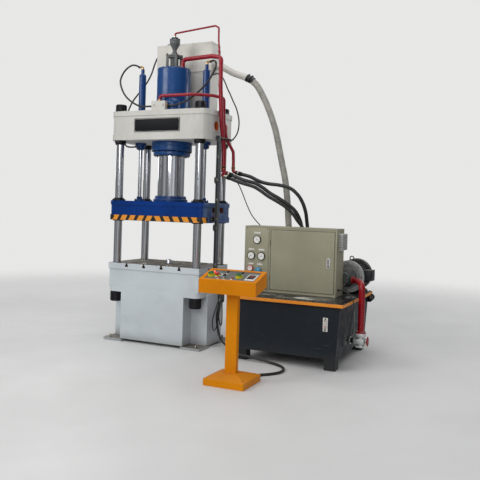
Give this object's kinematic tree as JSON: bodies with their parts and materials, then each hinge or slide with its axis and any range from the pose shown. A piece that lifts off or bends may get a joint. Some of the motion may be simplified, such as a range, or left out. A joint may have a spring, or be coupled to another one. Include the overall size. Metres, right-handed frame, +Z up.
{
  "type": "hydraulic press",
  "caption": "Four-column hydraulic press with blue cylinder and moving platen, slotted bed, oil power unit with cabinet and motor, hoses and a control pedestal.",
  "frame": {"origin": "middle of the footprint on the floor, cords left out", "axes": "+Z up; the press and the control pedestal face -Y, and the power unit stands on the +X side of the press"},
  "size_m": [3.2022, 2.4736, 3.7257],
  "materials": {
    "bed_paint": "white-grey enamel, chipped and oily",
    "cream_paint": "warm off-white enamel",
    "blue_paint": "glossy mid-blue enamel",
    "dark_blue_paint": "glossy dark blue enamel with a hazard band",
    "chrome": "hard chrome, thin oil film",
    "black_steel": "blackened steel",
    "bright_steel": "machined steel",
    "cast_iron": "grey casting",
    "rail": "dark grey channel",
    "red_paint": "red enamel",
    "tank_paint": "slate enamel, scuffed",
    "lid_paint": "orange edge, blackened oily top",
    "pedestal_paint": "orange-yellow powder coat",
    "cabinet_paint": "khaki-beige powder coat",
    "motor_paint": "dark grey enamel",
    "green_plastic": "moulded green",
    "red_plastic": "moulded red",
    "white_plastic": "moulded white",
    "black_plastic": "moulded black",
    "blue_plastic": "moulded blue",
    "black_rubber": "oily black hose",
    "grey_rubber": "dusty grey hose"
  },
  "bodies": {
    "frame": {"bed": "bed_paint", "crown": "cream_paint", "main_cylinder": "blue_paint", "gland_flange": "blue_paint", "prefill_valve": "cast_iron", "prefill_tank": "cream_paint", "return_cylinder_left": "blue_paint", "return_cylinder_right": "blue_paint", "manifold_block": "cream_paint", "pipe_pilot": "red_paint", "pipe_pressure": "red_paint", "pipe_return": "red_paint", "switch_rail": "rail", "ejector_cylinder": "blue_paint", "oil_tank": "tank_paint", "tank_lid": "lid_paint", "cabinet": "cabinet_paint", "motor": "motor_paint", "pump": "cast_iron", "suction_pipe": "red_paint", "stop_valve": "bright_steel", "valve_block": "cast_iron", "pedestal": "pedestal_paint", "console": "pedestal_paint", "hose_left": "black_rubber", "hose_right": "black_rubber", "hose_tank": "black_rubber", "power_hose_upper": "black_rubber", "power_hose_lower": "black_rubber", "pedestal_cable": "black_rubber", "tank_return_hose": "grey_rubber", "column_front_left": "chrome", "column_front_right": "chrome", "column_rear_left": "chrome", "column_rear_right": "chrome", "crown_nut_front_left": "black_steel", "crown_nut_front_right": "black_steel", "crown_nut_rear_left": "black_steel", "crown_nut_rear_right": "black_steel"},
    "press_slide": {"platen": "dark_blue_paint", "main_ram": "chrome", "ram_flange": "dark_blue_paint", "return_rod_left": "chrome", "return_rod_right": "chrome"},
    "ejector": {"ejector_rod": "chrome"},
    "door": {"cabinet_door": "cabinet_paint"},
    "door_latch": {"door_lock": "bright_steel"},
    "stop_handle": {"valve_handle": "red_paint"},
    "palm_left": {"palm_button_left": "green_plastic"},
    "palm_right": {"palm_button_right": "green_plastic"},
    "estop": {"estop_button": "red_plastic"},
    "push_1": {"push_button_1": "white_plastic"},
    "push_2": {"push_button_2": "white_plastic"},
    "push_3": {"push_button_3": "white_plastic"},
    "push_4": {"push_button_4": "white_plastic"},
    "select_1": {"selector_1": "black_plastic"},
    "select_2": {"selector_2": "black_plastic"},
    "select_3": {"selector_3": "black_plastic"},
    "regulator_red": {"regulator_knob_red": "red_plastic"},
    "regulator_blue": {"regulator_knob_blue": "blue_plastic"}
  },
  "joints": [
    {"name": "press_stroke", "type": "slide", "parent": "frame", "child": "press_slide", "axis": [0, 0, 1], "range_m": [-0.25, 0.45]},
    {"name": "ejector_stroke", "type": "slide", "parent": "frame", "child": "ejector", "axis": [0, 0, 1], "range_m": [-0.05, 0.15]},
    {"name": "door_hinge", "type": "hinge", "parent": "frame", "child": "door", "pos_m": [0.441, 0.2683, 1.05], "axis": [0, 0, -1], "range_deg": [0, 110]},
    {"name": "door_latch_turn", "type": "hinge", "parent": "door", "child": "door_latch", "pos_m": [1.1125, 0.268, 1.047], "axis": [0, 1, 0], "range_deg": [0, 90]},
    {"name": "stop_valve_turn", "type": "hinge", "parent": "frame", "child": "stop_handle", "pos_m": [1.5365, 0.3478, 0.24], "axis": [1, 0, 0], "range_deg": [0, 90]},
    {"name": "palm_left_press", "type": "slide", "parent": "frame", "child": "palm_left", "axis": [0, 0.2993, -0.9541], "range_m": [0, 0.006], "stiffness_N_per_m": 1500, "springref_m": -0.008},
    {"name": "palm_right_press", "type": "slide", "parent": "frame", "child": "palm_right", "axis": [0, 0.2993, -0.9541], "range_m": [0, 0.006], "stiffness_N_per_m": 1500, "springref_m": -0.008},
    {"name": "estop_press", "type": "slide", "parent": "frame", "child": "estop", "axis": [0, 0.2993, -0.9541], "range_m": [0, 0.005], "stiffness_N_per_m": 1500, "springref_m": -0.008},
    {"name": "push_1_press", "type": "slide", "parent": "frame", "child": "push_1", "axis": [0, 0.2993, -0.9541], "range_m": [0, 0.004], "stiffness_N_per_m": 1500, "springref_m": -0.008},
    {"name": "push_2_press", "type": "slide", "parent": "frame", "child": "push_2", "axis": [0, 0.2993, -0.9541], "range_m": [0, 0.004], "stiffness_N_per_m": 1500, "springref_m": -0.008},
    {"name": "push_3_press", "type": "slide", "parent": "frame", "child": "push_3", "axis": [0, 0.2993, -0.9541], "range_m": [0, 0.004], "stiffness_N_per_m": 1500, "springref_m": -0.008},
    {"name": "push_4_press", "type": "slide", "parent": "frame", "child": "push_4", "axis": [0, 0.2993, -0.9541], "range_m": [0, 0.004], "stiffness_N_per_m": 1500, "springref_m": -0.008},
    {"name": "select_1_turn", "type": "hinge", "parent": "frame", "child": "select_1", "pos_m": [0.5315, -1.0182, 1.01437], "axis": [0, -0.2993, 0.9541], "range_deg": [-45, 45]},
    {"name": "select_2_turn", "type": "hinge", "parent": "frame", "child": "select_2", "pos_m": [0.5345, -1.0962, 0.9899], "axis": [0, -0.2993, 0.9541], "range_deg": [-45, 45]},
    {"name": "select_3_turn", "type": "hinge", "parent": "frame", "child": "select_3", "pos_m": [0.6815, -1.0222, 1.01311], "axis": [0, -0.2993, 0.9541], "range_deg": [-45, 45]},
    {"name": "regulator_red_turn", "type": "hinge", "parent": "frame", "child": "regulator_red", "pos_m": [0.2035, 0.2695, 0.943], "axis": [0, 1, 0], "range_deg": [-360, 360]},
    {"name": "regulator_blue_turn", "type": "hinge", "parent": "frame", "child": "regulator_blue", "pos_m": [0.3025, 0.2695, 0.925], "axis": [0, 1, 0], "range_deg": [-360, 360]}
  ]
}
